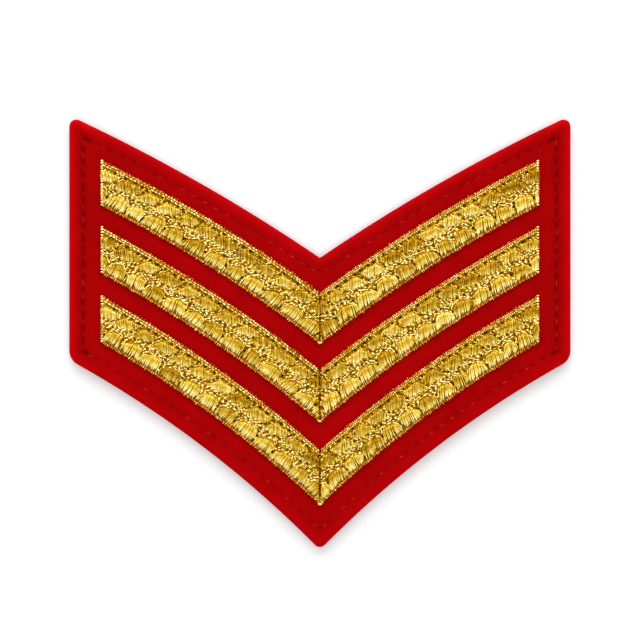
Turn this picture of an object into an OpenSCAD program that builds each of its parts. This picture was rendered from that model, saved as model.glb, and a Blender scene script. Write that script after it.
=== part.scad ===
// Rank badge: three gold lace chevrons on a V of red felt, to be sewn to a sleeve.
// The back of the felt lies on Z = 0, the face looks up along +Z, and the V opens towards +Y.
// Every long edge is an arc. An arc is named by its height on the middle line, its height at
// the end of the arm and its radius, and its centre lies on the lower outer side of the arm.

/* [Felt] */
// Overall width of the badge
badge_w = 100; // [94:1:110]
// Height of the notch between the arms
notch_y = 14.9; // [13:0.1:17]
// Height of the upper outer corners
top_y = 43.3; // [41:0.1:46]
// Radius of the two upper edges
top_r = 354; // [250:1:600]
// Height of the lower outer corners
side_y = -5.5; // [-8:0.1:-3]
// Height of the bottom point
tip_y = -43.4; // [-46:0.1:-41]
// Radius of the two lower edges
bottom_r = 214; // [180:1:500]
// Corner radius at the bottom point
tip_round = 1.4; // [0.6:0.1:2.5]
// Corner radius at the lower outer corners
side_round = 3.2; // [1:0.1:5]
// Corner radius at the upper outer corners
top_round = 1.4; // [0.6:0.1:2.5]
// Corner radius in the notch
notch_round = 0.3; // [0.2:0.1:1]
// Thickness of the felt under the lace
felt_t = 2; // [1.6:0.1:2.6]

/* [Border] */
// Distance of the border stitching from the rim
stitch_in = 2.9; // [2.4:0.1:3.2]
// Depth of the line that the stitching draws down
groove_d = 0.42; // [0.1:0.02:0.6]
// Rise of the soft roll between the rim and the stitching
roll_h = 0.22; // [0:0.02:0.4]

/* [Lace] */
// Width of the lace
lace_w = 8.3; // [7:0.1:9]
// Distance of the lace's ends from the side edges of the felt
end_margin = 6.5; // [5:0.1:9]
// Thickness of the lace at its edges
lace_edge_t = 0.45; // [0.3:0.05:0.6]
// Rise of the leaves above the lace's edges
leaf_h = 0.62; // [0.3:0.02:0.8]
// Number of leaves along one arm
leaves = 11; // [8:1:12]
// How far a leaf leans outwards for each millimetre down the lace
leaf_lean = 0.5; // [0:0.05:0.6]
// Width of the seam between the two arms of a chevron
seam_w = 0.3; // [0.2:0.05:0.6]
// Gap between the lace and the felt
seat_gap = 0.05; // [0.02:0.01:0.2]

/* [Hidden] */

// The lace's centre lines
upper = 0;
middle = 1;
lower = 2;
// height on the middle line, height at the lace's end, radius
laces = [
    [2.8, 29.7, 268],
    [-12.6, 16.4, 274],
    [-28.8, 2.7, 233]
];

half_w = badge_w / 2;
inner_round = 0.5; // corner radius of the inner rings, where the rim's own corner has run out
top_arc = arc_of(notch_y, top_y, half_w, top_r);
bottom_arc = arc_of(tip_y, side_y, half_w, bottom_r);

// Sections of the felt: distance in from the outline, height
rim_t = 0.8; // height of the rim's outermost line
section = [
    [0.45, 0],
    [0.1, 0.3],
    [0, rim_t],
    [0.2, felt_t * 0.75],
    [0.75, felt_t + roll_h * 0.3],
    [1.5, felt_t + roll_h],
    [2.25, felt_t + roll_h * 0.1],
    [stitch_in, felt_t - groove_d],
    [stitch_in + 0.55, felt_t - groove_d * 0.4],
    [stitch_in + 1.4, felt_t]
];

// Steps along the felt's outline
arc_steps = 14;
round_steps = 5;
side_steps = 4;

// Sections across the lace: distance from its upper edge as a share of its width
across = [0, 0.06, 0.125, 0.17, 0.27, 0.38, 0.49, 0.56, 0.67, 0.79, 0.88, 0.94, 1];
border_share = 0.15; // the corded border along the upper edge
band_share = 0.53; // the line between the upper leaves and the lower domes
foot_share = 0.91; // the line between the domes and the lower edging
steps_per_leaf = 4;
lace_steps = leaves * steps_per_leaf;
lace_z = felt_t + seat_gap;
lace_end_x = half_w - end_margin;

// Moves the badge so that its box is centred on X = 0 and Y = 0
outline = ring(0);
mid_y = (max([for (p = outline) p.y]) + min([for (p = outline) p.y])) / 2;

// Centre and radius of an arc, as [x, y, radius]
function arc_of(y_mid, y_end, x_end, r) =
    let (
        rise = y_end - y_mid,
        chord = norm([x_end, rise]),
        sag = sqrt(r * r - chord * chord / 4)
    )
    [x_end / 2 + sag * rise / chord, (y_mid + y_end) / 2 - sag * x_end / chord, r];

// Point of an arc's circle, grown by off, above the height x
function arc_y(arc, off, x) = arc.y + sqrt(pow(arc.z + off, 2) - pow(x - arc.x, 2));

function from_centre(arc, p) = atan2(p.y - arc.y, p.x - arc.x);

// Points on a circle from the angle a to the angle b, both ends included
function sweep(c, r, a, b, steps) =
    [for (i = [0:steps]) let (w = a + (b - a) * i / steps) [c.x + r * cos(w), c.y + r * sin(w)]];

function straight(a, b, steps) = [for (i = [0:steps]) a + (b - a) * i / steps];

function drop_ends(points) = [for (i = [1:len(points) - 2]) points[i]];

// The right half of the felt's outline, drawn in by the distance d, from the notch to the point
function half_ring(d) =
    let (
        top_corner = max(top_round - d, inner_round),
        side_corner = max(side_round - d, inner_round),
        tip_corner = max(tip_round - d, inner_round),
        notch_c = [0, arc_y(top_arc, notch_round, 0)],
        top_x = half_w - d - top_corner,
        top_c = [top_x, arc_y(top_arc, -d - top_corner, top_x)],
        side_x = half_w - d - side_corner,
        side_c = [side_x, arc_y(bottom_arc, d + side_corner, side_x)],
        tip_c = [0, arc_y(bottom_arc, d + tip_corner, 0)],
        notch_a = from_centre(top_arc, notch_c),
        top_a = from_centre(top_arc, top_c),
        side_a = from_centre(bottom_arc, side_c),
        tip_a = from_centre(bottom_arc, tip_c)
    )
    concat(
        sweep(notch_c, notch_round + d, -90, notch_a - 180, round_steps),
        drop_ends(sweep(top_arc, top_r - d, notch_a, top_a, arc_steps)),
        sweep(top_c, top_corner, top_a, 0, round_steps),
        drop_ends(straight([half_w - d, top_c.y], [half_w - d, side_c.y], side_steps)),
        sweep(side_c, side_corner, 0, side_a - 180, round_steps),
        drop_ends(sweep(bottom_arc, bottom_r + d, side_a, tip_a, arc_steps)),
        sweep(tip_c, tip_corner, tip_a - 180, -90, round_steps)
    );

// The whole outline: the right half, then its mirror without the two points on the middle line
function ring(d) =
    let (half = half_ring(d))
    concat(half, [for (i = [len(half) - 2:-1:1]) [-half[i].x, half[i].y]]);

// Height of the lace's face at the distance s along the arm, counted in leaves, and the share t across
function lace_face(s, t) =
    t < border_share ? leaf_h * 0.75 * sin(180 * t / border_share)
    : t < band_share ? leaf_row(s, (t - border_share) / (band_share - border_share), 0)
    : t < foot_share ? leaf_row(s, (t - band_share) / (foot_share - band_share), 0.5)
    : leaf_h * 0.3 * sin(180 * (t - foot_share) / (1 - foot_share));

// One leaf is domed along the arm and across it, and stands on a low ground
function leaf_row(s, across_row, shift) =
    let (along = abs(sin(180 * (s + shift))), over = sin(180 * across_row))
    leaf_h * (0.2 + 0.8 * pow(along, 0.6) * pow(over, 0.7));

// A closed solid from rings of the same number of points, the lowest ring first
module ring_stack(rings) {
    count = len(rings[0]);
    last = (len(rings) - 1) * count;
    polyhedron(
        points = [for (r = rings) each r],
        faces = concat(
            [[for (i = [0:count - 1]) i]],
            [for (k = [0:len(rings) - 2], i = [0:count - 1])
                let (a = k * count + i, b = k * count + (i + 1) % count)
                each [[a, a + count, b + count], [a, b + count, b]]],
            [[for (i = [count - 1:-1:0]) last + i]]
        )
    );
}

module backing() {
    color([0.68, 0.02, 0.03])
        ring_stack([for (row = section) [for (p = ring(row[0])) [p.x, p.y - mid_y, row[1]]]]);
}

// Point of an arm at the share u along it and the share t across it, seen from above. The two ends
// are cut on vertical lines, and between them the points lean outwards as the leaves do.
function lace_point(arc, u, t) =
    let (
        r = arc.z + lace_w * (0.5 - t),
        start_a = acos((seam_w / 2 - arc.x) / r),
        end_a = acos((lace_end_x - arc.x) / r),
        lean_a = leaf_lean * lace_w * (t - 0.5) / arc.z * 180 / PI * sin(180 * u),
        a = start_a + (end_a - start_a) * u - lean_a
    )
    [arc.x + r * cos(a), arc.y + r * sin(a) - mid_y];

// One arm of a chevron on the right of the middle line
module lace_arm(row) {
    arc = arc_of(laces[row][0], laces[row][1], lace_end_x, laces[row][2]);
    rows = len(across);
    face = [for (i = [0:lace_steps], t = across)
        let (u = i / lace_steps, p = lace_point(arc, u, t))
        [p.x, p.y, lace_z + lace_edge_t + lace_face(u * leaves, t)]];
    function at(i, j) = i * rows + j;
    edge = concat(
        [for (i = [0:lace_steps]) at(i, 0)],
        [for (j = [1:rows - 1]) at(lace_steps, j)],
        [for (i = [lace_steps - 1:-1:0]) at(i, rows - 1)],
        [for (j = [rows - 2:-1:1]) at(0, j)]
    );
    count = len(edge);
    foot = [for (e = edge) [face[e].x, face[e].y, lace_z]];
    base = len(face);
    crown = round(lace_steps / 2); // the base fans out from the middle of the upper edge
    color([0.83, 0.66, 0.22])
        polyhedron(
            points = concat(face, foot),
            faces = concat(
                [for (i = [0:lace_steps - 1], j = [0:rows - 2])
                    let (a = at(i, j), b = at(i + 1, j + 1))
                    each [[a, at(i + 1, j), b], [a, b, at(i, j + 1)]]],
                [for (k = [0:count - 1])
                    let (n = (k + 1) % count)
                    each [[edge[k], base + k, base + n], [edge[k], base + n, edge[n]]]],
                [[for (k = [0:count - 1]) base + (crown - k + count) % count]]
            )
        );
}

module lace_right(row) {
    lace_arm(row);
}

module lace_left(row) {
    mirror([1, 0, 0])
        lace_arm(row);
}

backing();
lace_left(upper);  // lace_upper_left
lace_right(upper);  // lace_upper_right
lace_left(middle);  // lace_middle_left
lace_right(middle);  // lace_middle_right
lace_left(lower);  // lace_lower_left
lace_right(lower);  // lace_lower_right
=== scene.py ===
import math

import bmesh
import bpy
import numpy as np
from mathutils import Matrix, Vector


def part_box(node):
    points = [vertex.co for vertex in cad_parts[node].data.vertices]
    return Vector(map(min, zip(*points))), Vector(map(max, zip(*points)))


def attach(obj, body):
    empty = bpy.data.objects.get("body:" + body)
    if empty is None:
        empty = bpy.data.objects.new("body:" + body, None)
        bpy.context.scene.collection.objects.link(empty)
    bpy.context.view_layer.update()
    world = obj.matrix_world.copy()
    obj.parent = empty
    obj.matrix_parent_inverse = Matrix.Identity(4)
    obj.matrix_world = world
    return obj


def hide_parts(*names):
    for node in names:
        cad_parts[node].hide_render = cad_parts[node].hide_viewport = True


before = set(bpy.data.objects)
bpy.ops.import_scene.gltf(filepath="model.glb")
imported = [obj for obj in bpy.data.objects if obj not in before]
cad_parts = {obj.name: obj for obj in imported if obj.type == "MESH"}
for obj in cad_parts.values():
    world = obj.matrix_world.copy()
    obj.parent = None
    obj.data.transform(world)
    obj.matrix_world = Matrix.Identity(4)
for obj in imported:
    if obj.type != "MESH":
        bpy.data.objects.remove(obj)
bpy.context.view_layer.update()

mm = 0.001
dice = np.random.default_rng(31)  # every uneven stitch is drawn from here


# Shader helpers

class Wire:  # a socket that can be added, multiplied and so on
    def __init__(self, finish, socket):
        self.finish = finish
        self.socket = socket

    def maths(self, operation, first, second):
        return self.finish.add("ShaderNodeMath", {"operation": operation}, {0: first, 1: second})

    def __add__(self, other):
        return self.maths("ADD", self, other)

    def __radd__(self, other):
        return self.maths("ADD", other, self)

    def __sub__(self, other):
        return self.maths("SUBTRACT", self, other)

    def __rsub__(self, other):
        return self.maths("SUBTRACT", other, self)

    def __mul__(self, other):
        return self.maths("MULTIPLY", self, other)

    def __rmul__(self, other):
        return self.maths("MULTIPLY", other, self)


class Finish:  # a material and the nodes that are added to it
    def __init__(self, name, shaderValues):
        self.material = bpy.data.materials.new(name)
        self.material.use_nodes = True
        self.tree = self.material.node_tree
        self.shader = self.tree.nodes["Principled BSDF"]
        self.feed(self.shader, shaderValues)

    def feed(self, node, values):
        for key, value in values.items():
            if isinstance(value, Wire):
                self.tree.links.new(value.socket, node.inputs[key])
            else:
                node.inputs[key].default_value = value

    def add(self, kind, settings=None, values=None, output=0):
        node = self.tree.nodes.new(kind)
        for key, value in (settings or {}).items():
            if key == "stops":
                for stop, (place, colour) in enumerate(value):
                    if stop > 1:
                        node.color_ramp.elements.new(place)
                    node.color_ramp.elements[stop].position = place
                    node.color_ramp.elements[stop].color = (*colour, 1)
            else:
                setattr(node, key, value)
        self.feed(node, values or {})
        return Wire(self, node.outputs[output])

    def place(self):
        return self.add("ShaderNodeTexCoord", output="Object")

    def attribute(self, name):
        return self.add("ShaderNodeAttribute", {"attribute_name": name}, output="Fac")

    def sine(self, value):
        return self.add("ShaderNodeMath", {"operation": "SINE"}, {0: value})

    def winding(self, turns):
        # a helix round each thread, from the turn and the length that threadMesh stores
        place = self.attribute("along") * turns
        sine, cosine = self.sine(place), self.sine(place + math.pi / 2)
        return sine * self.attribute("turnX") + cosine * self.attribute("turnY")

    def noise(self, scale, detail=2.0, roughness=0.5, vector=None):
        values = {"Scale": scale, "Detail": detail, "Roughness": roughness, "Vector": vector or self.place()}
        return self.add("ShaderNodeTexNoise", None, values)

    def ramp(self, value, stops):
        return self.add("ShaderNodeValToRGB", {"stops": stops}, {"Fac": value})

    def mix(self, share, first, second):
        return self.add("ShaderNodeMix", {"data_type": "RGBA"}, {0: share, 6: first, 7: second}, output=2)

    def bump(self, height, strength, distance):
        values = {"Height": height, "Strength": strength, "Distance": distance}
        return self.add("ShaderNodeBump", None, values)


def colour(red, green, blue):
    return (red, green, blue, 1)


# Finishes

def redFelt():
    felt = Finish("redFelt", {
        "Roughness": 0.95,
        "Specular IOR Level": 0.02,
        "Sheen Weight": 0.2,
        "Sheen Roughness": 0.4,
        "Sheen Tint": colour(1.0, 0.0, 0.02),
    })
    place = felt.place()
    cloudy = felt.noise(160, 3, 0.6, place)  # soft patches of the nap, about 6 mm across
    fibres = felt.noise(2600, 6, 0.72, place)
    matted = felt.add("ShaderNodeTexVoronoi", {"feature": "SMOOTH_F1"}, {"Vector": place, "Scale": 1500})
    shade = cloudy * 0.55 + fibres * 0.45
    body = felt.ramp(shade, [(0.3, (0.225, 0.0001, 0.0001)), (0.7, (0.32, 0.0005, 0.0015))])
    # painted shade: the felt is darkened in blotches in the stitch groove and at the holes, where shade falls
    grooveShade = felt.attribute("grooveShade") * (felt.noise(620, 2, 0.5, place) * 1.6 + 0.2)  # blotchy
    paintedShadeAndSheen = felt.mix(grooveShade, body, colour(0.13, 0.0002, 0.0004))
    # painted highlight: the felt is lightened along the rim, where the roll's nap catches the light
    paintedShadeAndSheen = felt.mix(felt.attribute("rim"), paintedShadeAndSheen, colour(0.5, 0.0006, 0.003))
    hairs = fibres * 0.7 + matted * 0.3
    felt.feed(felt.shader, {"Base Color": paintedShadeAndSheen, "Normal": felt.bump(hairs, 0.35, 0.12 * mm)})
    return felt.material


def redThread():
    thread = Finish("redThread", {"Roughness": 0.5, "Specular IOR Level": 0.03})
    ply = thread.winding(9.0)
    body = thread.ramp(thread.attribute("tint"), [(0.0, (0.26, 0.001, 0.002)), (1.0, (0.6, 0.02, 0.016))])
    thread.feed(thread.shader, {"Base Color": body, "Normal": thread.bump(ply, 0.5, 0.05 * mm)})
    return thread.material


def goldThread(name, stops, shine, spots):
    # metal foil wound round a core: bright, with a fine helix along every stitch
    gold = Finish(name, {
        "Metallic": 1.0,
        "Coat Roughness": 0.2,
        "Specular Tint": colour(1.0, 0.7, 0.15),
    })
    winding = gold.winding(30.0)
    # painted glints: spots of brighter foil colour stand in for the light the foil catches
    paintedGlints = gold.noise(3000, 2, 0.5)  # the foil catches the light in spots about 0.3 mm long
    lumps = gold.noise(1300, 1, 0.5)
    shade = gold.attribute("tint") + paintedGlints * spots - spots / 2 + lumps * 0.4 - 0.2
    body = gold.ramp(shade, stops)
    grain = gold.noise(5200, 3, 0.6)
    gold.feed(gold.shader, {
        "Base Color": body,
        "Coat Weight": (shade - 0.7) * 0.5,
        "Roughness": grain * 0.16 + shine,
        "Normal": gold.bump(winding * 0.5 + grain * 0.5, 0.35, 0.03 * mm),
    })
    return gold.material


def laceGround():
    ground = Finish("laceGround", {
        "Roughness": 0.42,
        "Metallic": 1.0,
        "Specular Tint": colour(1.0, 0.6, 0.12),
    })
    values = {"Vector": ground.place(), "Scale": 900, "Distortion": 1.5}
    across, down = (ground.add("ShaderNodeTexWave", {"bands_direction": way}, values) for way in ("X", "Y"))
    weave = across * 0.5 + down * 0.5
    # painted shade: the ground's colour runs from dark in the pits and hollows, where shade falls, to gold on
    # the pads
    body = ground.ramp(ground.attribute("giltWithShade") * (0.8 + weave * 0.2), [  # dark in the pits, gold on the pads
        (0.0, (0.05, 0.013, 0.0001)),
        (0.3, (0.3, 0.138, 0.001)),
        (1.0, (0.62, 0.4, 0.012)),
    ])
    ground.feed(ground.shader, {
        "Base Color": body,
        "Normal": ground.bump(weave, 0.5, 0.06 * mm),
    })
    return ground.material


feltFinish = redFelt()
redThreadFinish = redThread()
groundFinish = laceGround()
goldFinish = goldThread("goldThread", [
    (0.0, (0.3, 0.135, 0.001)),
    (0.45, (0.73, 0.48, 0.022)),
    (1.0, (1.0, 0.86, 0.36)),
], 0.24, 0.62)
satinFinish = goldThread("satinThread", [
    (0.0, (0.32, 0.15, 0.001)),
    (0.4, (0.7, 0.495, 0.046)),
    (1.0, (1.0, 0.89, 0.42)),
], 0.32, 0.85)
copperFinish = goldThread("edgingThread", [
    (0.0, (0.4, 0.07, 0.004)),
    (0.5, (0.85, 0.34, 0.03)),
    (1.0, (1.0, 0.67, 0.25)),
], 0.22, 0.6)
print("finishes ready")


# Shapes that the pieces share

feltLow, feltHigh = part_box("backing")
laceLow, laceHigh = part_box("lace_upper_right")

outlineSizes = {  # millimetres, before the outline is centred on its box
    "halfWidth": feltHigh.x / mm,
    "notchY": 14.9,
    "topY": 43.3,
    "topRadius": 354,
    "sideY": -5.5,
    "tipY": -43.4,
    "bottomRadius": 214,
    "tipRound": 1.4,
    "sideRound": 3.2,
    "topRound": 1.4,
    "notchRound": 0.3,
    "innerRound": 0.5,
}


def arcThrough(yMid, yEnd, xEnd, radius):
    rise = yEnd - yMid
    chord = math.hypot(xEnd, rise)
    sag = math.sqrt(radius ** 2 - chord ** 2 / 4)
    return (xEnd / 2 + sag * rise / chord, (yMid + yEnd) / 2 - sag * xEnd / chord, radius)


def heightOnArc(arc, grown, x):
    return arc[1] + math.sqrt((arc[2] + grown) ** 2 - (x - arc[0]) ** 2)


def angleFrom(arc, point):
    return math.atan2(point[1] - arc[1], point[0] - arc[0])


def sweep(centre, radius, start, end, steps):
    angles = np.linspace(start, end, steps + 1)
    return [(centre[0] + radius * math.cos(a), centre[1] + radius * math.sin(a)) for a in angles]


def halfOutline(inset, steps):
    o = outlineSizes
    topArc = arcThrough(o["notchY"], o["topY"], o["halfWidth"], o["topRadius"])
    bottomArc = arcThrough(o["tipY"], o["sideY"], o["halfWidth"], o["bottomRadius"])
    topCorner, sideCorner, tipCorner = (
        max(o[key] - inset, o["innerRound"]) for key in ("topRound", "sideRound", "tipRound"))
    notch = (0, heightOnArc(topArc, o["notchRound"], 0))
    topX = o["halfWidth"] - inset - topCorner
    top = (topX, heightOnArc(topArc, -inset - topCorner, topX))
    sideX = o["halfWidth"] - inset - sideCorner
    side = (sideX, heightOnArc(bottomArc, inset + sideCorner, sideX))
    tip = (0, heightOnArc(bottomArc, inset + tipCorner, 0))
    notchTurn, topTurn = angleFrom(topArc, notch), angleFrom(topArc, top)
    sideTurn, tipTurn = angleFrom(bottomArc, side), angleFrom(bottomArc, tip)
    edgeX = o["halfWidth"] - inset
    straight = [(edgeX, y) for y in np.linspace(top[1], side[1], steps["side"] + 1)]
    return (
        sweep(notch, o["notchRound"] + inset, -math.pi / 2, notchTurn - math.pi, steps["corner"])
        + sweep(topArc, o["topRadius"] - inset, notchTurn, topTurn, steps["top"])[1:-1]
        + sweep(top, topCorner, topTurn, 0, steps["corner"])
        + straight[1:-1]
        + sweep(side, sideCorner, 0, sideTurn - math.pi, steps["corner"])
        + sweep(bottomArc, o["bottomRadius"] + inset, sideTurn, tipTurn, steps["bottom"])[1:-1]
        + sweep(tip, tipCorner, tipTurn - math.pi, -math.pi / 2, steps["corner"])
    )


coarse = {"corner": 8, "top": 40, "side": 30, "bottom": 40}
outlineTop = max(y for x, y in halfOutline(0, coarse))
outlineLow = min(y for x, y in halfOutline(0, coarse))
middleY = (outlineTop + outlineLow) / 2


def outlineRing(inset, steps):
    half = [(x, y - middleY) for x, y in halfOutline(inset, steps)]
    return np.array(half + [(-x, y) for x, y in half[-2:0:-1]])


def smoothCurve(table, count):
    # a Catmull-Rom curve through the rows of a table, at equal steps
    rows = np.array(table, float)
    padded = np.vstack([2 * rows[0] - rows[1], rows, 2 * rows[-1] - rows[-2]])
    points = []
    for place in np.linspace(0, len(rows) - 1, count):
        k = min(int(place), len(rows) - 2)
        f = place - k
        a, b, c, d = padded[k:k + 4]
        square, cube = 2 * a - 5 * b + 4 * c - d, 3 * b - a - 3 * c + d
        points.append(0.5 * (2 * b + (c - a) * f + square * f ** 2 + cube * f ** 3))
    return np.array(points)


def finishPiece(bm, name, material):
    mesh = bpy.data.meshes.new(name)
    bm.to_mesh(mesh)
    bm.free()
    return showMesh(mesh, name, material)


def showMesh(mesh, name, material):
    piece = bpy.data.objects.new(name, mesh)
    bpy.context.scene.collection.objects.link(piece)
    mesh.polygons.foreach_set("use_smooth", np.full(len(mesh.polygons), True))
    mesh.materials.append(material)
    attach(piece, "root")
    return piece


# Felt

feltShape = {
    "steps": {"corner": 9, "top": 210, "side": 180, "bottom": 230},
    "rows": 34,
    "stitchInset": 2.9,  # from the rim to the border stitching
    "stitchPitch": 2.55,
    "relief": 0.7,
    "holeDepth": 0.14,
    "holeLength": 0.4,
    "holeWidth": 0.3,
    "pucker": 0.05,
    # how dark the painted shade in the stitch line, which lies lower, and in the holes is and how bright the
    # painted highlight on the rim is, and what the straight sides add
    "trough": (0.08, 0.1),
    "hole": (0.3, 0.35),
    "rim": (0.34, 0.4),
    # inset from the outline and height, from the back face round the rim to the field
    "section": [
        (0.75, 0), (0.42, 0.02), (0.12, 0.28), (0, 0.8), (0.16, 1.48), (0.62, 2.01), (1.2, 2.12),
        (1.9, 2.07), (2.5, 1.95), (2.9, 1.87), (3.3, 1.91), (3.8, 1.96), (4.4, 1.99), (5.0, 2.0), (5.5, 2.0),
    ],
}


def measureAlong(ring):
    steps = np.linalg.norm(np.diff(np.vstack([ring, ring[:1]]), axis=0), axis=1)
    return np.concatenate([[0], np.cumsum(steps)])


stitchRing = outlineRing(feltShape["stitchInset"], feltShape["steps"])
stitchAlongRing = measureAlong(stitchRing)
stitchCount = round(stitchAlongRing[-1] / feltShape["stitchPitch"])
stitchPitch = stitchAlongRing[-1] / stitchCount


def onSide(x):
    # 1 along the two straight sides of the badge, where the stitching sinks deeper, and 0 elsewhere
    return min(1, max(0, abs(x) - 44.5) / 1.5)


def feltSurface(inset, height, along, side):
    # the stitching pulls the felt down at every hole and puckers the roll beside it
    f = feltShape
    fromHole = (along + stitchPitch / 2) % stitchPitch - stitchPitch / 2
    aside = inset - f["stitchInset"]
    hole = np.exp(-(fromHole / f["holeLength"] / (1 + side)) ** 2 - (aside / f["holeWidth"]) ** 2)
    bulge = np.cos(2 * math.pi * fromHole / stitchPitch) * np.exp(-((aside + 0.9) / 0.7) ** 2)
    if inset > 0.6:
        height = 2 + (height - 2) * (f["relief"] + 0.5 * side)
    return height - f["holeDepth"] * (1 + side) * hole - f["pucker"] * bulge, hole


def makeFelt():
    f = feltShape
    section = smoothCurve(f["section"], f["rows"])
    rings = [outlineRing(max(inset, 0), f["steps"]) for inset, height in section]
    around = len(rings[0])
    bm = bmesh.new()
    bmesh.ops.create_grid(bm, x_segments=around, y_segments=f["rows"] - 1, size=0.5)
    bm.verts.ensure_lookup_table()
    grooveShade, rim = (bm.verts.layers.float.new(key) for key in ("grooveShade", "rim"))
    for vert in bm.verts:
        turn = round((vert.co.x + 0.5) * around)
        row = round((vert.co.y + 0.5) * (f["rows"] - 1))
        inset, height = section[row]
        x, y = rings[row][turn % around]
        side = onSide(x)
        z, hole = height, 0
        if row > f["rows"] * 0.25:
            z, hole = feltSurface(inset, height, stitchAlongRing[turn % around], side)
        vert.co = (x * mm, y * mm, max(z, 0) * mm)
        # painted shade in the stitch groove and at the holes and a painted highlight along the rim, both
        # stronger on the straight sides
        trough = math.exp(-((inset - f["stitchInset"]) / 0.9) ** 2) if height > 1 else 0
        dark, dot, bright = (f[key][0] + f[key][1] * side for key in ("trough", "hole", "rim"))
        vert[grooveShade] = min(1, dark * trough + dot * hole)
        vert[rim] = bright * math.exp(-(inset / (1.5 - 0.3 * side)) ** 2)
    bmesh.ops.remove_doubles(bm, verts=bm.verts, dist=0.002 * mm)
    rims = [edge for edge in bm.edges if edge.is_boundary]
    for level in (0, section[-1][1] * mm):
        loop = [edge for edge in rims if abs(edge.verts[0].co.z - level) < 0.01 * mm]
        bmesh.ops.triangle_fill(bm, edges=loop, use_beauty=True, use_dissolve=False)
    bmesh.ops.recalc_face_normals(bm, faces=bm.faces)
    return finishPiece(bm, "felt", feltFinish)


felt = makeFelt()
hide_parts("backing")
flatRing = outlineRing(0, feltShape["steps"]) * mm
print("felt", len(felt.data.polygons), "faces")


# Threads

def threadMesh(name, stitches, sides=6):
    # each stitch is a path of points with a width at each point, all with the same number of points
    curve = bpy.data.curves.new(name, "CURVE")
    curve.dimensions = "3D"
    curve.bevel_depth = 1 * mm
    curve.bevel_resolution = sides // 2 - 2
    curve.use_fill_caps = True
    for stitch in stitches:
        path = stitch["path"]
        spline = curve.splines.new("POLY")
        spline.points.add(len(path) - 1)
        spline.points.foreach_set("co", np.hstack([path * mm, np.ones((len(path), 1))]).ravel())
        spline.points.foreach_set("radius", stitch["radii"])
    holder = bpy.data.objects.new(name, curve)
    bpy.context.scene.collection.objects.link(holder)
    mesh = bpy.data.meshes.new_from_object(holder.evaluated_get(bpy.context.evaluated_depsgraph_get()))
    bpy.data.objects.remove(holder)
    bpy.data.curves.remove(curve)
    # where each point lies on its stitch: a tint with its painted tip light, a turn round the thread and a
    # length along it
    rings = len(stitches[0]["path"])
    turn = np.tile(np.arange(sides) / sides * 2 * math.pi, rings)
    share = np.repeat(np.linspace(0, 1, rings), sides)
    tint = np.array([np.repeat(s["tint"] + s["glow"] * np.ones(rings), sides) for s in stitches])
    length = np.array([[np.linalg.norm(s["path"][-1] - s["path"][0])] for s in stitches])
    every = np.ones((len(stitches), 1))
    places = {
        "tint": np.clip(tint, 0, 1),
        "turnX": every * np.cos(turn),
        "turnY": every * np.sin(turn),
        "along": length * share,
    }
    for key, tubes in places.items():
        # the mesh has the caps before the tubes, the last stitch first, and in each the end before the start
        caps = np.hstack([tubes[:, -sides:], tubes[:, :sides]])[::-1]
        values = np.concatenate([caps.ravel(), tubes.ravel()])
        if len(values) != len(mesh.vertices):
            raise ValueError(f"{name}: {len(mesh.vertices)} points for {len(stitches)} stitches")
        mesh.attributes.new(key, "FLOAT", "POINT").data.foreach_set("value", values.astype(np.float32))
    bm = bmesh.new()
    bm.from_mesh(mesh)
    bmesh.ops.remove_doubles(bm, verts=bm.verts, dist=0.00001 * mm)
    bm.to_mesh(mesh)
    bm.free()
    mesh.name = name
    return mesh


def stitchAlong(path, width, tint, glow=0.0, rise=0.1, dip=0.12, tip=None):
    # a stitch on a path of points: it dives at both ends and has a rounded back, and its tint carries a
    # painted highlight that grows towards its far end, a painted shade where it is negative
    share = np.linspace(0, 1, len(path))
    arch = np.sin(math.pi * share) ** 0.65
    low = dip + ((dip if tip is None else tip) - dip) * share
    path = path.copy()
    path[:, 2] += rise * arch - low * (1 - arch)
    radii = width / 2 * (0.55 + 0.45 * np.sin(math.pi * share) ** 0.5)
    return {"path": path, "radii": radii, "tint": tint, "glow": glow * share ** 2.5 * (1 - 0.4 * share ** 8)}


def straightPath(start, end, points):
    share = np.linspace(0, 1, points)[:, None]
    return np.array(start) + (np.array(end) - np.array(start)) * share


def uneven(size):
    return dice.normal(0, size)


# Border stitching

borderStitch = {
    "width": 0.17,
    "length": 0.42,  # share of the pitch that shows
    "rise": 0.08,
    "dip": 0.2,
    "slant": 5,  # degrees
    "level": 1.9,
}


def pointAlong(along):
    ring = np.vstack([stitchRing, stitchRing[:1]])
    return np.array([np.interp(along % stitchAlongRing[-1], stitchAlongRing, ring[:, k]) for k in (0, 1)])


def makeBorderStitches():
    b = borderStitch
    stitches = []
    for k in range(stitchCount):
        middle = (k + 0.5) * stitchPitch + uneven(0.05)
        reach = stitchPitch * b["length"] / 2 * dice.uniform(0.75, 1.25)
        start, end = pointAlong(middle - reach), pointAlong(middle + reach)
        turn = math.radians(uneven(b["slant"]))
        centre = (start + end) / 2
        spin = np.array([[math.cos(turn), -math.sin(turn)], [math.sin(turn), math.cos(turn)]])
        start, end = centre + spin @ (start - centre), centre + spin @ (end - centre)
        path = straightPath([*start, b["level"]], [*end, b["level"]], 7)
        side = onSide(centre[0])
        # painted shade: the stitches on the straight sides, which sink deeper, are tinted darker
        stitches.append(stitchAlong(path, b["width"], dice.uniform(0, 1) ** 1.5 * (1 - 0.2 * side),
                                    rise=b["rise"] - 0.06 * side, dip=b["dip"]))
    showMesh(threadMesh("border_stitches", stitches), "border_stitches", redThreadFinish)


makeBorderStitches()
print("border stitches", stitchCount)


# Lace

laceSizes = {
    "width": 8.3,
    "endX": laceHigh.x / mm,
    "groundStart": 0.07,  # from the mitre
    "threadStart": 0.13,
    "baseZ": laceLow.z / mm,
    # height on the middle line, height at the lace's end, radius of the centre line
    "rows": {
        "upper": (2.8, 29.7, 268),
        "middle": (-12.6, 16.4, 274),
        "lower": (-28.8, 2.7, 233),
    },
}

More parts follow.
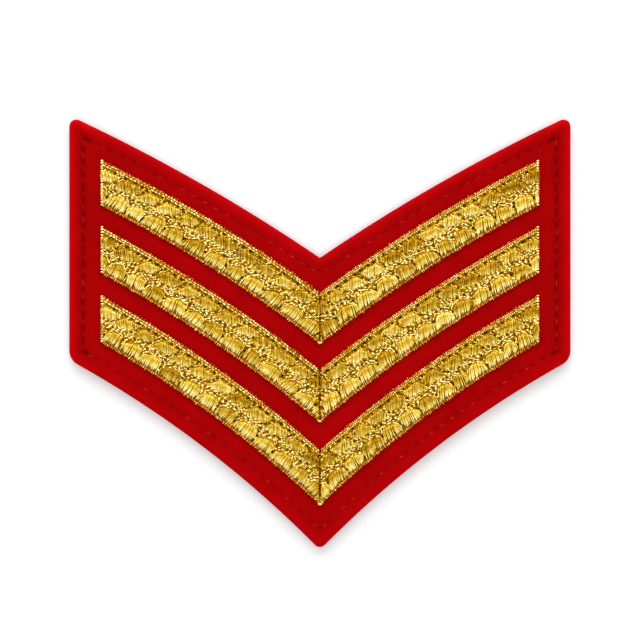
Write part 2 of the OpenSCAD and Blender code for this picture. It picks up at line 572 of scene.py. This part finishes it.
# millimetres from the mitre: the lines between the leaves, and the gaps between the domes
patternPlaces = {
    "upper_left": {
        "leaves": [3.4, 7.6, 12.3, 16.6, 21.5, 26.5, 30.6, 35.0, 39.4, 43.4, 48.8],
        "domes": [3.0, 7.8, 12.6, 17.3, 21.3, 26.5, 31.4, 35.9, 40.6, 44.4, 48.9],
    },
    "upper_right": {
        "leaves": [3.5, 7.3, 11.8, 16.4, 20.9, 25.5, 30.3, 34.6, 38.9, 43.6, 48.8],
        "domes": [2.7, 7.7, 12.4, 17.3, 21.6, 26.8, 31.1, 35.5, 40.2, 44.6, 49.1],
    },
    "middle_left": {
        "leaves": [4.0, 8.2, 13.6, 17.4, 21.5, 26.5, 31.4, 35.3, 40.6, 44.7, 50.1],
        "domes": [4.0, 8.4, 13.4, 17.6, 22.7, 27.4, 31.6, 36.6, 41.1, 45.4, 49.9],
    },
    "middle_right": {
        "leaves": [3.5, 8.3, 13.2, 17.6, 21.3, 25.6, 30.7, 35.0, 39.6, 44.6, 49.4],
        "domes": [3.4, 8.3, 13.0, 17.5, 22.7, 27.0, 31.3, 36.3, 40.2, 45.3, 49.4],
    },
    "lower_left": {
        "leaves": [1.6, 5.8, 10.5, 15.0, 20.0, 24.4, 28.8, 33.7, 37.9, 42.6, 46.8, 51.3],
        "domes": [1.5, 5.8, 10.5, 15.1, 20.2, 24.8, 29.3, 33.8, 38.7, 43.4, 48.0, 51.8],
    },
    "lower_right": {
        "leaves": [0.9, 5.3, 9.8, 14.4, 18.7, 23.3, 28.0, 32.2, 36.9, 41.0, 45.0, 50.9],
        "domes": [0.5, 5.0, 9.5, 14.8, 19.3, 24.0, 28.5, 32.4, 36.0, 40.1, 44.5, 47.7, 51.0],
    },
}

coverShape = {
    "base": 0.3,
    # low rolls under the threads: rise, start and width across the lace
    "rolls": (
        (0.16, 0.02, 0.98),  # the corded border
        (0.06, 7.75, 0.55),  # the lower edging
        (0.12, 3.2, 3.2),  # between the leaves and the domes
    ),
    "notch": (7.3, 0.34),  # the hollow under the tips of the domes' threads: middle and width across the lace
    "notchDepth": 0.28,
}

leafShape = {  # millimetres across the lace, from its upper edge
    "level": 3.0,  # where the lines between the leaves are measured
    "slant": {-1: 0.65, 1: 0.45},  # they run outwards by this for each millimetre across
    "top": 1.34,
    "shoulder": 0.5,  # how much lower the inner end starts
    "footInner": 3.4,
    "footOuter": 4.3,
    "pad": 0.42,
    "lean": -0.7,  # the threads run the other way
    "pitch": 0.22,
    "width": 0.33,
    "tint": 0.16,
}

domeShape = {
    "crown": 4.8,
    "peak": 0.34,  # share of the dome where it is highest
    "drop": (1.2, 1.7),  # how much lower its inner and its outer end start
    "foot": 7.66,
    "pad": 0.5,
    "pitch": 0.24,
    "width": 0.38,
    "gather": 0.84,  # the threads stand closer together at the crown
    "lean": {-1: 0.02, 1: -0.3},
    "tint": 0.23,
}


def leafEdges(u):
    top = leafShape["top"] + leafShape["shoulder"] * np.maximum(0, 1 - u / 0.3) ** 2
    foot = leafShape["footInner"] + (leafShape["footOuter"] - leafShape["footInner"]) * np.clip(u, 0, 1)
    return top, foot


def domeEdges(u):
    peak = domeShape["peak"]
    inner, outer = np.clip(1 - u / peak, 0, 1), np.clip((u - peak) / (1 - peak), 0, 1)
    top = domeShape["crown"] + domeShape["drop"][0] * inner ** 3 + domeShape["drop"][1] * outer ** 2.2
    return top, domeShape["foot"] + 0 * u


def swell(share, power, skew=1.0):
    # rises from 0 to 1 and falls back, later if it is skewed
    share = np.clip(share, 0, 1) ** skew
    return (4 * share * (1 - share)) ** power


def slope(share, crest, fall):
    # climbs to the crest, then falls away by a part of its height, and is 0 outside
    up = np.sin(math.pi / 2 * np.clip(share / crest, 0, 1)) ** 0.5
    down = 1 - fall * np.clip((share - crest) / (1 - crest), 0, 1) ** 1.3
    return up * down * (share < 1)


def ridge(t, middle, width):
    return np.exp(-((t - middle) / width) ** 2)


class Arm:  # one arm of a chevron, measured along it from the mitre and across it from its upper edge
    def __init__(self, row, side):
        yMid, yEnd, radius = laceSizes["rows"][row]
        self.side = side
        self.name = f"{row}_{'right' if side > 0 else 'left'}"
        self.arc = arcThrough(yMid, yEnd, laceSizes["endX"], radius)
        self.start = math.atan2(yMid - self.arc[1], -self.arc[0])
        endAngle = math.atan2(yEnd - self.arc[1], laceSizes["endX"] - self.arc[0])
        self.length = (self.start - endAngle) * self.arc[2]
        places = patternPlaces[self.name]
        self.leaves = self.carryOn(places["leaves"])
        self.domes = self.carryOn(places["domes"])
        self.slant = leafShape["slant"][side]
        self.pits = []

    def carryOn(self, places):
        # the pattern goes on past the mitre and past the end, where it is cut off
        before = [places[0] - 4.5 * k for k in (2, 1)]
        after = [places[-1] + 4.5 * k for k in (1, 2)]
        return np.array(before + places + after)

    def path(self, s, t, z):
        angle = self.start - s / self.arc[2]
        r = self.arc[2] + laceSizes["width"] / 2 - t
        x = self.arc[0] + r * np.cos(angle)
        y = self.arc[1] + r * np.sin(angle)
        return np.stack([self.side * x, y - middleY, z + 0 * x], axis=-1)

    def cutAt(self, x, t):
        # distance along the arm where a vertical line crosses it
        r = self.arc[2] + laceSizes["width"] / 2 - t
        return (self.start - np.arccos((x - self.arc[0]) / r)) * self.arc[2]

    def clip(self, a, b):
        # the longest part of a stitch that lies on the arm and runs over no hole, or None
        share = np.linspace(0, 1, 25)
        s, t = a[0] + (b[0] - a[0]) * share, a[1] + (b[1] - a[1]) * share
        free = (s > self.cutAt(laceSizes["threadStart"], t)) & (s < self.cutAt(laceSizes["endX"], t))
        free &= self.pitAt(s, t)[0].max(axis=1) < 0.4
        turns = np.flatnonzero(np.diff(np.concatenate([[0], free.astype(int), [0]])))
        if not len(turns):
            return None
        starts, ends = turns[::2], turns[1::2] - 1
        k = np.argmax(ends - starts)
        i, j = starts[k], ends[k]
        if j - i < 3 or math.hypot(s[j] - s[i], t[j] - t[i]) < 0.25:
            return None
        return (s[i], t[i]), (s[j], t[j])

    def leafLean(self, t):
        # how far the leaves' lines have run outwards
        return self.slant * (t - leafShape["level"])

    def shareOf(self, places, s):
        # the share of its leaf or dome at which a place lies
        k = np.clip(np.searchsorted(places, s) - 1, 0, len(places) - 2)
        return (s - places[k]) / (places[k + 1] - places[k])

    def pads(self, s, t):
        # the fullness of the leaf and of the dome at a place, from 0 to 1
        u = self.shareOf(self.leaves, s - self.leafLean(t))
        top, foot = leafEdges(u)
        leaf = slope((t - top) / (foot - top), 0.45, 0.7) * swell(0.01 + 0.98 * u, 0.35)
        u = self.shareOf(self.domes, s)
        top, foot = domeEdges(u)
        dome = slope((t - top) / (foot - top), 0.42, 0.8) * swell(0.01 + 0.98 * u, 0.35)
        return leaf, dome

    def pitAt(self, s, t):
        # how far into each pit every place lies, from 0 to 1, and the pits' depths
        place, across, size, stretch, depth = np.array(self.pits).T[:, None, :]
        away = ((s[:, None] - place) / stretch) ** 2 + (t[:, None] - across) ** 2
        return np.exp(-(away / size ** 2) ** 1.5), depth

    def cover(self, s, t):
        # height of the threads over the lace's back
        leaf, dome = self.pads(s, t)
        rolls = [rise * swell((t - start) / width, 0.5) for rise, start, width in coverShape["rolls"]]
        pads = [leafShape["pad"] * leaf, domeShape["pad"] * dome]
        return coverShape["base"] + np.maximum.reduce(pads + rolls)

    def ground(self, s, t):
        # height of the ground under the threads, and how much gold shows on it, less where painted shade
        # darkens it in the pits, in the notch under the tips and along a line under the border
        leaf, dome = self.pads(s, t)
        notch = ridge(t, *coverShape["notch"])
        pit, depth = self.pitAt(s, t)
        height = self.cover(s, t) - (depth * pit).max(axis=1) - coverShape["notchDepth"] * notch
        giltWithShade = 0.26 + 0.26 * np.clip(np.maximum(leaf, dome) * 1.6 - 0.4, 0, 1)
        # painted shade: darker along a line under the border, in the notch under the tips and in the pits
        giltWithShade = np.maximum(giltWithShade, 0.38 * swell((t - 0.02) / 0.98, 0.3)) * (1 - 0.5 * ridge(t, 0.52, 0.07))
        return np.maximum(height, 0.03), giltWithShade * (1 - 0.4 * notch) * (1 - 0.85 * pit.max(axis=1))


def sew(arm, stitches, a, b, width, tint, bow=0.0, lift=0.0, points=6, **more):
    # a stitch on the arm's cover from a to b, each given along and across the arm
    kept = arm.clip(a, b)
    if kept is None:
        return
    (s0, t0), (s1, t1) = kept
    share = np.linspace(0, 1, points)
    length = math.hypot(s1 - s0, t1 - t0)
    out = bow * np.sin(math.pi * share) / length
    s, t = s0 + (s1 - s0) * share - (t1 - t0) * out, t0 + (t1 - t0) * share + (s1 - s0) * out
    z = laceSizes["baseZ"] + arm.cover(s, t) + lift
    stitches.append(stitchAlong(arm.path(s, t, z), width, tint, **more))


pitShape = {
    "depth": 0.3,
    # rows of needle holes: across the lace, spread, size, stretch along the lace, distance to the next
    "rows": (
        (1.16, 0.06, (0.13, 0.25), (0.8, 2.0), (1.2, 2.8)),  # under the border
        (4.45, 0.16, (0.12, 0.2), (1.0, 2.0), (1.4, 3.4)),  # over the domes
    ),
    # holes between two domes: share, spread along, across the lace, spread across, size, stretch, depth
    "domes": (
        (1, 0.08, 6.15, 0.3, (0.2, 0.34), 1, 0.35),
        (1, 0.2, 5.3, 0.2, (0.14, 0.22), 1.2, 0.3),
        (0.6, 0.05, 6.8, 0.2, (0.16, 0.26), 1, 0.3),
    ),
    "leaves": (1.75, 2.5, 3.3),  # across the lace, between two leaves
    "feet": (0.1, 0.3, 0.55, 0.8),  # share of a leaf, under its foot
}


def digPits(arm):
    p = pitShape
    for t, spread, sizes, stretches, steps in p["rows"]:
        s = 0.3
        while s < arm.length:
            pit = s, t + uneven(spread), dice.uniform(*sizes), dice.uniform(*stretches), p["depth"]
            arm.pits.append(pit)
            s += dice.uniform(*steps)
    for place in arm.domes:
        for share, along, t, across, sizes, stretch, depth in p["domes"]:
            if share == 1 or dice.random() < share:
                pit = place + uneven(along), t + uneven(across), dice.uniform(*sizes), stretch, depth
                arm.pits.append(pit)
    for place in arm.leaves:
        for t in p["leaves"]:
            t += uneven(0.2)
            s = place + arm.leafLean(t) + uneven(0.08)
            arm.pits.append((s, t, dice.uniform(0.14, 0.24), 1, p["depth"]))
        for u in p["feet"]:
            if dice.random() < 0.5:
                t = leafEdges(u)[1] + 0.22 + uneven(0.06)
                s = place + 4.5 * u + arm.leafLean(t) + uneven(0.15)
                arm.pits.append((s, t, dice.uniform(0.1, 0.16), dice.uniform(1.2, 2.6), p["depth"]))


groundShape = {
    "along": 270,
    "across": 52,
    "edge": 0.25,  # the ground's edges are rounded over this width
    "inset": 0.1,  # from the lace's long edges
}


def makeGround(arm):
    g = groundShape
    width = laceSizes["width"]
    bm = bmesh.new()
    bmesh.ops.create_grid(bm, x_segments=g["along"], y_segments=g["across"], size=0.5)
    share = np.array([vert.co.x + 0.5 for vert in bm.verts])
    t = g["inset"] + np.array([0.5 - vert.co.y for vert in bm.verts]) * (width - 2 * g["inset"])
    inner, outer = arm.cutAt(laceSizes["groundStart"], t), arm.cutAt(laceSizes["endX"], t)
    s = inner + (outer - inner) * share
    height, giltWithShade = arm.ground(s, t)
    fromEdge = np.minimum.reduce([t - g["inset"], width - g["inset"] - t, s - inner, outer - s]) / g["edge"]
    height = height * np.sqrt(np.clip(fromEdge, 0, 1) * 0.8 + 0.2)
    spots = arm.path(s, t, laceSizes["baseZ"] + height)
    giltShadeLayer = bm.verts.layers.float.new("giltWithShade")
    for vert, spot, gold in zip(bm.verts, spots, giltWithShade):
        vert.co = spot * mm
        vert[giltShadeLayer] = gold
    rim = [edge for edge in bm.edges if edge.is_boundary]
    skirt = bmesh.ops.extrude_edge_only(bm, edges=rim)["geom"]
    for vert in (v for v in skirt if isinstance(v, bmesh.types.BMVert)):
        vert.co.z = laceSizes["baseZ"] * mm
    foot = [edge for edge in bm.edges if edge.is_boundary]
    bmesh.ops.triangle_fill(bm, edges=foot, use_beauty=True, use_dissolve=False)
    bmesh.ops.recalc_face_normals(bm, faces=bm.faces)
    ground = finishPiece(bm, f"ground_{arm.name}", groundFinish)
    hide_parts(f"lace_{arm.name}")


def sewLeaves(arm):
    # satin threads that run down and inwards, some further than others
    shape = leafShape
    satin = []
    lean = shape["lean"]
    step = shape["pitch"] * math.hypot(1, lean)
    across = np.linspace(1.3, 4.6, 84)
    for first, last in zip(arm.leaves[:-1], arm.leaves[1:]):
        if last < -2 or first > arm.length + 3:
            continue
        mood = uneven(0.12)
        c = first - 2.4
        while c < last + 2.4:
            s = c + lean * (across - shape["level"])
            u = (s - arm.leafLean(across) - first) / (last - first)
            top, foot = leafEdges(u)
            kept = np.flatnonzero((u > 0.08) & (u < 0.94) & (across > top) & (across < foot))
            if len(kept) > 5:
                low = dice.uniform(0, 1)
                reach = 0.25 - 0.4 * low + uneven(0.06)
                a = (s[kept[0]] + uneven(0.02), across[kept[0]] + uneven(0.04))
                b = (s[kept[-1]] + lean * reach, across[kept[-1]] + reach)
                width = shape["width"] * dice.uniform(0.9, 1.1)
                # painted highlight towards each leaf thread's lower end, weaker on the threads whose ends
                # sink
                sew(arm, satin, a, b, width, shape["tint"] + mood + uneven(0.06),
                    points=7, bow=uneven(0.04), lift=uneven(0.012), rise=0.06, dip=0.16,
                    tip=0.03 + 0.13 * low, glow=1.1 - 0.9 * low + uneven(0.2))
            c += step * dice.uniform(0.82, 1.2)
    return satin


def sewLeafLines(arm):
    # the thin threads down each leaf's outer side
    stitches = []
    for place in arm.leaves:
        for offset in (-0.2, 0.02)[: 1 + (dice.random() > 0.3)]:
            t0, t1 = 1.3 + uneven(0.1), 4.5 + uneven(0.2)
            half = (t0 + t1) / 2 + uneven(0.2)
            for a, b in ((t0, half), (half - 0.1, t1)):
                ends = [(place + offset + arm.leafLean(t) + uneven(0.04), t) for t in (a, b)]
                sew(arm, stitches, *ends, 0.22, 0.4 + uneven(0.18), bow=uneven(0.04),
                    lift=0.05, rise=0.1, dip=0.2)
    return stitches


def sewDomes(arm):
    # satin threads that fan out to the lower edging, some further than others
    shape = domeShape
    satin = []
    for first, last in zip(arm.domes[:-1], arm.domes[1:]):
        if last < -2 or first > arm.length + 3:
            continue
        mood, tilt, drop = uneven(0.12), uneven(0.08), uneven(0.14)
        span = last - first - 0.04
        middle = (first + last) / 2
        count = round(span / shape["pitch"])
        for j in range(count):
            u = (j + 0.5 + uneven(0.12)) / count
            low = dice.uniform(0, 1)  # how far the thread's end sinks, and how dull it is
            top = domeEdges(0.5 + (u - 0.5) * shape["gather"])[0] + drop * (1 - abs(2 * u - 1)) + uneven(0.05)
            foot = shape["foot"] + 0.16 - 0.6 * low ** 2.5 + uneven(0.08) - 0.1 * abs(2 * u - 1) ** 3
            lean = (shape["lean"][arm.side] + tilt) * (foot - top)
            a = (middle + (u - 0.5) * span * shape["gather"] - lean / 2, top)
            b = (middle + (u - 0.5) * span * 1.01 + lean / 2 + uneven(0.07), foot)
            width = shape["width"] * dice.uniform(0.88, 1.12)
            # painted highlight towards each thread's foot, where the dome bends down and catches the light,
            # weaker on the duller threads whose ends sink
            sew(arm, satin, a, b, width, shape["tint"] + mood + uneven(0.05),
                points=7, bow=(0.5 - u) * 0.25 + uneven(0.03), lift=uneven(0.012), rise=0.05, dip=0.16,
                tip=0.15 * low, glow=1.6 - 0.8 * low + uneven(0.3))
    return satin


crownShape = {
    "kept": 0.85,  # share of the stitches that are sewn
    "reach": (0.08, 0.2),  # share of the dome that one stitch spans
    "gap": (0.01, 0.05),
    "above": 0.1,
    "width": 0.28,
    "tint": 0.55,
}


def sewCrowns(arm):
    # stitches over each dome's crown
    c = crownShape
    stitches = []
    for first, last in zip(arm.domes[:-1], arm.domes[1:]):
        span = last - first
        u = 0.02 + uneven(0.02)
        while u < 0.95:
            reach = dice.uniform(*c["reach"])
            ends = [(first + v * span, domeEdges(min(v, 1))[0] - c["above"] + uneven(0.08))
                    for v in (u, u + reach)]
            if dice.random() < c["kept"]:
                sew(arm, stitches, *ends, c["width"], c["tint"] + uneven(0.25), bow=-0.05 + uneven(0.04),
                    lift=0.02, rise=0.12, dip=0.2)
            u += reach + dice.uniform(*c["gap"])
    return stitches


fillShape = {
    "rows": (1.45, 7.0),  # across the lace
    "pitch": 0.3,
    "length": (0.5, 1.05),
    "gap": (0.03, 0.2),
    "width": 0.28,
    "tints": ((2.2, 3.0, 4.0, 4.6), (0.45, 0.69, 0.9, 0.84)),  # across the lace, and the tint there
    "onLeaf": 0.55,  # how full a leaf or a dome may be where a stitch still lies
    "onDome": 0.45,
}


def sewFill(arm):
    # short stitches wherever there is no leaf and no dome
    f = fillShape
    stitches = []
    for row in np.arange(*f["rows"], f["pitch"]):
        s = -1.0 + uneven(0.3)
        while s < arm.length + 1:
            dash = dice.uniform(*f["length"])
            t = row + uneven(0.06)
            centre = np.array([s + dash / 2])
            leaf, dome = arm.pads(centre, np.array([t]))
            u = arm.shareOf(arm.leaves, centre - arm.leafLean(t))
            between = t < leafEdges(u)[1][0] + 0.05  # it stands between two leaves
            if between:
                way = (arm.slant, 1)
            else:  # it turns with the dome's crown
                turn = arm.shareOf(arm.domes, centre)[0]
                rise = float(domeEdges(turn + 0.05)[0] - domeEdges(turn - 0.05)[0]) / 0.45
                side = np.clip((t - 4.2) / 0.9, 0, 1)
                way = (1, side * np.clip(rise, -2, 2) + (1 - side) * 0.15 + uneven(0.12))
            if max(leaf[0], dome[0]) < (f["onLeaf"] if between else f["onDome"]):
                reach = min(dash, 0.8) / 2 if between or t > 5.2 else dash / 2
                ds, dt = (reach * v / math.hypot(*way) for v in way)
                ends = (centre[0] - ds, t - dt), (centre[0] + ds, t + dt)
                sew(arm, stitches, *ends, f["width"] * dice.uniform(0.85, 1.1),
                    np.interp(t, *f["tints"]) + uneven(0.3), bow=uneven(0.07), rise=0.12, dip=0.14)
            s += dash + dice.uniform(*f["gap"])
    return stitches


borderShape = {
    # a left arm has two rows of stitches along its edge: across the lace, length and tint
    "left": {
        "rows": ((0.33, 0.62, 0.76), (0.77, 0.78, 0.75)),
        "width": 0.34,
        "copper": 0.45,
    },
    # a right arm has two rows of stitches across its edge: across the lace, shift along it and tint
    "right": {
        "rows": ((0.1, 0, 0.7), (0.55, 0.18, 0.72)),
        "step": (0.33, 0.46),
        "width": 0.28,
        "copper": 0.5,
    },
    # a broken row lies under both
    "under": {
        "levels": (1.1, 1.12),
        "length": (0.4, 1.1),
        "gap": (0.05, 0.4),
        "width": 0.3,
        "tint": 0.62,
    },
}


def isCopper(t, share):
    # some of the outer row's stitches are of the edging's copper thread
    return t < 0.5 and dice.random() < share


def sewBorder(arm):
    left, right, under = (borderShape[key] for key in ("left", "right", "under"))
    gold, copper = [], []
    if arm.side < 0:
        for t, pitch, tint in left["rows"]:
            s = -2.0 + uneven(0.2)
            while s < arm.length + 2:
                dash = pitch * dice.uniform(0.8, 1.3)
                dark = isCopper(t, left["copper"])
                ends = [(place, t + uneven(0.04)) for place in (s, s + dash * 0.95)]
                sew(arm, copper if dark else gold, *ends, left["width"], tint - 0.2 * dark + uneven(0.25),
                    rise=0.1, dip=0.15)
                s += dash
    else:
        s = -2.0
        while s < arm.length + 2:
            for t, shift, tint in right["rows"]:
                dark = isCopper(t, right["copper"])
                ends = (s + shift, t + uneven(0.05)), (s + shift + 0.1, t + 0.42 + uneven(0.05))
                sew(arm, copper if dark else gold, *ends, right["width"], tint - 0.15 * dark + uneven(0.26),
                    rise=0.12, dip=0.16)
            s += dice.uniform(*right["step"])
    s = -1.0
    while s < arm.length + 1:
        dash = dice.uniform(*under["length"])
        if dice.random() > 0.3:
            low, high = under["levels"]
            ends = (s, low + uneven(0.06)), (s + dash, high + uneven(0.07))
            sew(arm, gold, *ends, under["width"], under["tint"] + uneven(0.2), rise=0.08)
        s += dash + dice.uniform(*under["gap"])
    return gold, copper


endShape = {
    "pitch": 0.46,
    "length": 0.45,
    "width": 0.36,
    "tint": 0.9,
    "level": 0.35,  # over the lace's back
}


def sewEnd(arm):
    # the stitches that close the arm's outer end
    e = endShape
    level = laceSizes["baseZ"] + e["level"]
    stitches = []
    for t in np.arange(0.15, laceSizes["width"], e["pitch"]):
        t += uneven(0.04)
        s = arm.cutAt(laceSizes["endX"], t)
        start, end = arm.path(np.array([s - e["length"], s]), np.array([t - 0.25, t]), level)
        path = straightPath(start, end + np.array([arm.side * 0.14, 0, -0.12]), 6)
        # painted highlight towards the end of each stitch
        stitches.append(stitchAlong(path, e["width"], e["tint"] + uneven(0.08), glow=0.2, rise=0.16))
    return stitches


edgingShape = {
    "lower": {"reach": 0.62, "lean": 0.14, "step": (0.36, 0.6), "width": 0.32, "tint": 0.46},
    "upper": {"level": 0.08, "length": (0.3, 0.6), "gap": (0, 0.3), "width": 0.24, "tint": 0.1},
    "under": {"levels": (1.2, 1.26), "length": (0.3, 0.6), "step": (2, 6), "width": 0.3, "tint": 0.1},
}


def sewEdging(arm):
    # copper stitches over the lower edge, along the upper edge and here and there under the border
    lower, upper, under = (edgingShape[key] for key in ("lower", "upper", "under"))
    stitches = []
    t = laceSizes["width"]
    s = -3.0
    while s < arm.length + 2:
        ends = (s, t - lower["reach"] + uneven(0.07)), (s + lower["lean"] + uneven(0.1), t + uneven(0.1))
        # painted shade towards the lower end of each stitch, where it dives over the edge
        sew(arm, stitches, *ends, lower["width"], lower["tint"] + uneven(0.22), lift=-0.02 + uneven(0.04),
            rise=0.1, dip=0.2, glow=-0.3)
        s += dice.uniform(*lower["step"])
    s = -3.0
    while s < arm.length + 2:
        dash = dice.uniform(*upper["length"])
        ends = [(place, upper["level"] + uneven(0.09)) for place in (s, s + dash)]
        sew(arm, stitches, *ends, upper["width"], upper["tint"] + uneven(0.2), rise=0.05, dip=0.1)
        s += dash + dice.uniform(*upper["gap"])
    s = dice.uniform(2, 5)
    while s < arm.length:
        low, high = under["levels"]
        start = s, low + uneven(0.1)
        end = s + dice.uniform(*under["length"]), high + uneven(0.1)
        sew(arm, stitches, start, end, under["width"], under["tint"], lift=0.06)
        s += dice.uniform(*under["step"])
    return stitches


def dressArm(arm):
    digPits(arm)
    makeGround(arm)
    satin = sewLeaves(arm) + sewDomes(arm)
    border, copper = sewBorder(arm)
    threads = sewLeafLines(arm) + sewCrowns(arm) + sewFill(arm) + border + sewEnd(arm)
    edging = copper + sewEdging(arm)
    for kind, stitches, finish, sides in (
        ("satin", satin, satinFinish, 4),
        ("threads", threads, goldFinish, 6),
        ("edging", edging, copperFinish, 6),
    ):
        name = f"{kind}_{arm.name}"
        showMesh(threadMesh(name, stitches, sides), name, finish)
    return len(satin) + len(threads) + len(edging)


for row in laceSizes["rows"]:
    for side in (-1, 1):
        arm = Arm(row, side)
        print("lace", arm.name, dressArm(arm), "stitches")


# Mitre seams

mitreShape = {
    "level": 0.3,  # over the lace's back
    "cord": {"pitch": 0.62, "length": 0.6, "width": 0.24},
    "across": {"pitch": 0.55, "leftOut": 0.45, "reach": (0.2, 0.36), "width": 0.22, "tint": 0.3},
    "knot": {"places": (-0.36, -0.12, 0.12, 0.36), "length": 0.62, "width": 0.34, "tint": 0.7},
}


def sewMitre(row):
    right = Arm(row, 1)
    level = laceSizes["baseZ"] + mitreShape["level"]
    width = laceSizes["width"]
    cord, across, knot = (mitreShape[key] for key in ("cord", "across", "knot"))

    def seamHeight(t):
        return right.path(right.cutAt(0.02, t), t, 0)[1]

    # the dark cord in the seam
    seam = []
    for t in np.arange(0.35, width - 0.4, cord["pitch"]):
        ends = [[uneven(0.05), seamHeight(v), level - 0.1] for v in (t, t + cord["length"])]
        seam.append(stitchAlong(straightPath(*ends, 7), cord["width"], 0, rise=0.06))
    showMesh(threadMesh(f"seam_{row}", seam), f"seam_{row}", copperFinish)
    # a few gold threads across it, and the small knot at the lower point
    threads = []
    for t in np.arange(0.5, width - 0.6, across["pitch"]):
        if dice.random() > across["leftOut"]:
            y, tilt, reach = seamHeight(t) + uneven(0.15), uneven(0.16), dice.uniform(*across["reach"])
            path = straightPath([-reach, y + tilt, level], [reach, y - tilt, level], 7)
            threads.append(stitchAlong(path, across["width"], across["tint"] + uneven(0.15), rise=0.08))
    y = seamHeight(width)
    for x in knot["places"]:
        start, end = [x * 0.7, y + knot["length"], level], [x, y + 0.05 + abs(x) * 0.5, level - 0.12]
        path = straightPath(start, end, 7)
        threads.append(stitchAlong(path, knot["width"], knot["tint"] + uneven(0.12), rise=0.16))
    showMesh(threadMesh(f"mitre_{row}", threads), f"mitre_{row}", goldFinish)


for row in laceSizes["rows"]:
    sewMitre(row)
print("mitre seams sewn")


# Floor, light and camera

studio = {
    "floor": 4.0,
    "paper": (0.745, 0.758, 0.768, 1),
    "world": (0.8, 0.8, 0.72),
    "lampColour": (1, 1, 1.12),  # the world is a little warm, and the two together light the paper white
    "lamps": {
        "key": {"place": (-0.04, 0.64, 0.38), "size": (1.3, 0.45), "power": 6.0},
        "card": {"place": (0.0, -0.55, 0.7), "size": (0.7, 0.6), "power": 2.2},
        "overhead": {"place": (0.0, -0.05, 0.9), "size": (0.3, 0.3), "power": 0.6},
    },
    "lens": 100,
    "sensor": 36,
    "pixels": 640,
    "pixel": 0.2,  # millimetres of the badge for each pixel
    "axisPixel": (319.9, 333.25),  # where the badge's origin falls in the picture
}


def makeFloor():
    bm = bmesh.new()
    bmesh.ops.create_grid(bm, x_segments=2, y_segments=2, size=studio["floor"] / 2)
    for vert in bm.verts:
        vert.co.z = -0.03 * mm
    mesh = bpy.data.meshes.new("floor")
    bm.to_mesh(mesh)
    bm.free()
    floor = bpy.data.objects.new("floor", mesh)
    bpy.context.scene.collection.objects.link(floor)
    paper = Finish("paper", {"Base Color": studio["paper"], "Roughness": 0.9})
    mesh.materials.append(paper.material)


def makeLight(name, lamp):
    light = bpy.data.lights.new(name, "AREA")
    light.shape = "ELLIPSE"
    light.size, light.size_y = lamp["size"]
    light.energy = lamp["power"]
    light.color = studio["lampColour"]
    holder = bpy.data.objects.new(name, light)
    holder.location = lamp["place"]
    holder.rotation_euler = Vector(lamp["place"]).to_track_quat("Z", "Y").to_euler()
    bpy.context.scene.collection.objects.link(holder)


def makeCamera():
    camera = bpy.data.cameras.new("camera")
    camera.lens = studio["lens"]
    camera.sensor_width = studio["sensor"]
    holder = bpy.data.objects.new("camera", camera)
    bpy.context.scene.collection.objects.link(holder)
    span = studio["pixels"] * studio["pixel"] * mm
    half = studio["pixels"] / 2
    x = (half - studio["axisPixel"][0]) * studio["pixel"] * mm
    y = (studio["axisPixel"][1] - half) * studio["pixel"] * mm
    holder.location = (x, y, span * studio["lens"] / studio["sensor"])
    camera.clip_start, camera.clip_end = 0.01, 20
    bpy.context.scene.camera = holder


def makeWorld():
    world = bpy.data.worlds.new("studio")
    world.use_nodes = True
    background = world.node_tree.nodes["Background"]
    background.inputs["Color"].default_value = colour(*studio["world"])
    background.inputs["Strength"].default_value = 1
    bpy.context.scene.world = world
    bpy.context.scene.view_settings.view_transform = "Standard"


makeFloor()
for name, lamp in studio["lamps"].items():
    makeLight(name, lamp)
makeCamera()
makeWorld()
print("studio ready")
